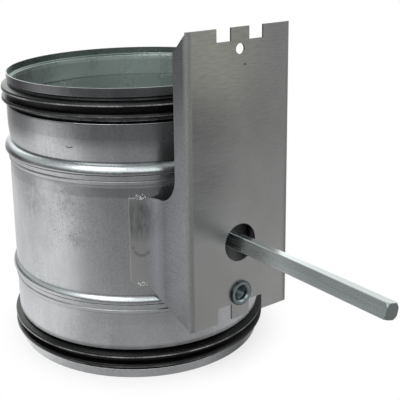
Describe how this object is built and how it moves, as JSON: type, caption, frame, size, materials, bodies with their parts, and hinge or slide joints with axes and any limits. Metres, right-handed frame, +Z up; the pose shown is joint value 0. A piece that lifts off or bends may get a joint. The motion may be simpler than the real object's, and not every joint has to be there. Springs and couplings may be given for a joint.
{
  "type": "round duct damper",
  "caption": "Round galvanised duct damper with lip gaskets on both spigots, a swivelling sealed blade, a square drive spindle and a welded actuator bracket.",
  "frame": {"origin": "centre of the duct axis in the plane of the lower rim", "axes": "+Z up along the duct axis, -Y along the spindle towards its free square end and out of the actuator bracket, +X to the right seen from the bracket"},
  "size_m": [0.1648, 0.2935, 0.2055],
  "materials": {
    "galvanised_casing": "spangle-free zinc coat, satin",
    "galvanised_bracket": "rolled zinc coat, dull satin",
    "plated_spindle": "bright drawn, zinc plated",
    "plated_fastener": "zinc plated",
    "black_epdm": "smooth extruded rubber",
    "bearing_plastic": "moulded acetal"
  },
  "bodies": {
    "housing": {"casing": "galvanised_casing", "upper_gasket": "black_epdm", "lower_gasket": "black_epdm", "actuator_bracket": "galvanised_bracket", "bracket_insert": "plated_fastener", "drive_bush": "bearing_plastic", "far_bush": "bearing_plastic", "drive_bush_ring": "plated_fastener", "far_bush_ring": "plated_fastener"},
    "blade_and_spindle": {"blade_upper_disc": "galvanised_casing", "blade_lower_disc": "galvanised_casing", "blade_seal_left": "black_epdm", "blade_seal_right": "black_epdm", "drive_oring": "black_epdm", "far_oring": "black_epdm", "drive_rotor": "bearing_plastic", "far_rotor": "bearing_plastic", "spindle": "plated_spindle", "blade_screw_drive": "plated_fastener", "blade_screw_far": "plated_fastener", "blade_nut_drive": "plated_fastener", "blade_nut_far": "plated_fastener", "blade_rivet_1": "plated_fastener", "blade_rivet_2": "plated_fastener", "blade_rivet_3": "plated_fastener", "blade_rivet_4": "plated_fastener", "blade_rivet_5": "plated_fastener", "blade_rivet_6": "plated_fastener"}
  },
  "joints": [
    {"name": "blade_turn", "type": "hinge", "parent": "housing", "child": "blade_and_spindle", "pos_m": [0, 0, 0.0865], "axis": [0, 1, 0], "range_deg": [-14.8, 75.2]}
  ]
}
